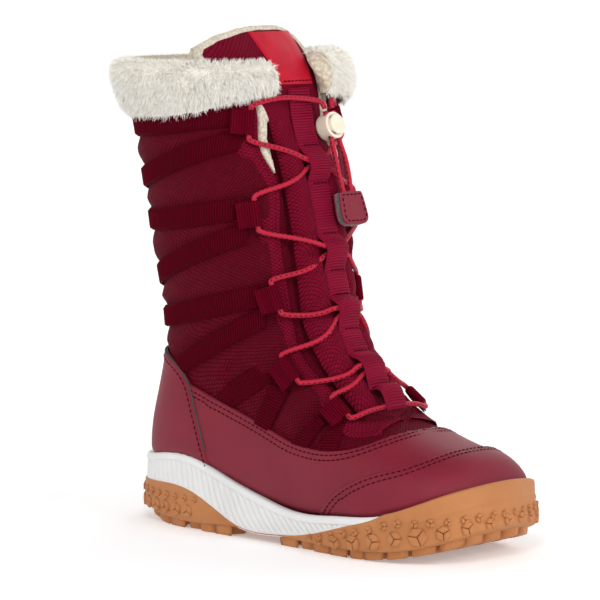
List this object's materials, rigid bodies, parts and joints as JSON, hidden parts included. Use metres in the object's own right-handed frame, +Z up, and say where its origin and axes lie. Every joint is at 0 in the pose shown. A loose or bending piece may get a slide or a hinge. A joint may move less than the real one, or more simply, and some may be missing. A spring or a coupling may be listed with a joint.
{
  "type": "cross country boot",
  "caption": "Knee-low insulated winter boot with fur cuff, strap-reinforced shaft, elastic lace with cord lock and pull tab, leather guards and lugged rubber sole.",
  "frame": {"origin": "on the ground plane under the centre of the boot's box", "axes": "+X to the toe, +Y to the inner side, +Z up; a boot for the right foot"},
  "size_m": [0.2313, 0.1194, 0.2547],
  "materials": {
    "gum_rubber": "moulded gum rubber, satin",
    "eva_foam": "moulded white foam, matt",
    "shank_nylon": "moulded",
    "board": "fibre board",
    "stiffener": "formed sheet",
    "oxford_fabric": "woven polyester with a dull sheen",
    "coated_leather": "smooth matt coated leather",
    "fleece": "short pile",
    "fur": "long pile",
    "satin": "woven satin",
    "webbing": "ribbed webbing",
    "elastic_cord": "braided, with dark flecks",
    "felt": "dense felt",
    "lock_plastic": "moulded, satin",
    "spring_steel": "wire"
  },
  "bodies": {
    "boot": {"outsole": "gum_rubber", "midsole": "eva_foam", "shank": "shank_nylon", "insole_board": "board", "footbed": "fleece", "heel_counter": "stiffener", "toe_puff": "stiffener", "lining": "fleece", "quarter_right": "oxford_fabric", "quarter_left": "oxford_fabric", "vamp": "oxford_fabric", "heel_panel": "coated_leather", "mudguard": "coated_leather", "toe_cap": "coated_leather", "facing_tape_right": "oxford_fabric", "facing_tape_left": "oxford_fabric", "gusset_right": "oxford_fabric", "gusset_left": "oxford_fabric", "tongue": "oxford_fabric", "tongue_binding": "fleece", "tongue_label": "satin", "tongue_webbing": "webbing", "fur_cuff": "fur", "strap_top_upper": "webbing", "strap_top_lower": "webbing", "strap_middle_upper": "webbing", "strap_middle_lower": "webbing", "strap_ankle_upper": "webbing", "strap_ankle_lower": "webbing", "lace": "elastic_cord", "instep_strap_back_right": "webbing", "instep_strap_front_right": "webbing", "vamp_strap_back_right": "webbing", "vamp_strap_front_right": "webbing", "lace_loop_right_1": "webbing", "lace_loop_right_2": "webbing", "lace_loop_right_3": "webbing", "lace_loop_right_4": "webbing", "lace_loop_right_5": "webbing", "instep_strap_back_left": "webbing", "instep_strap_front_left": "webbing", "vamp_strap_back_left": "webbing", "vamp_strap_front_left": "webbing", "lace_loop_left_1": "webbing", "lace_loop_left_2": "webbing", "lace_loop_left_3": "webbing", "lace_loop_left_4": "webbing", "lace_loop_left_5": "webbing"},
    "lace_end": {"lace_tails": "elastic_cord", "pull_tab_core": "felt", "pull_tab_front": "coated_leather", "pull_tab_back": "coated_leather"},
    "cord_lock": {"cord_lock_body": "lock_plastic", "cord_lock_spring": "spring_steel"},
    "lock_button": {"cord_lock_button": "lock_plastic"}
  },
  "joints": [
    {"name": "lace_end_swing", "type": "hinge", "parent": "boot", "child": "lace_end", "pos_m": [-0.00679, 0.0143, 0.20917], "axis": [0, -1, 0], "range_deg": [0, 60]},
    {"name": "cord_lock_slide", "type": "slide", "parent": "lace_end", "child": "cord_lock", "axis": [0.2924, 0, -0.9563], "range_m": [0, 0.0025]},
    {"name": "lock_button_press", "type": "slide", "parent": "cord_lock", "child": "lock_button", "axis": [-0.9563, 0, -0.2924], "range_m": [0, 0.002], "stiffness_N_per_m": 900, "springref_m": -0.001, "deforming": ["cord_lock_spring"]}
  ]
}
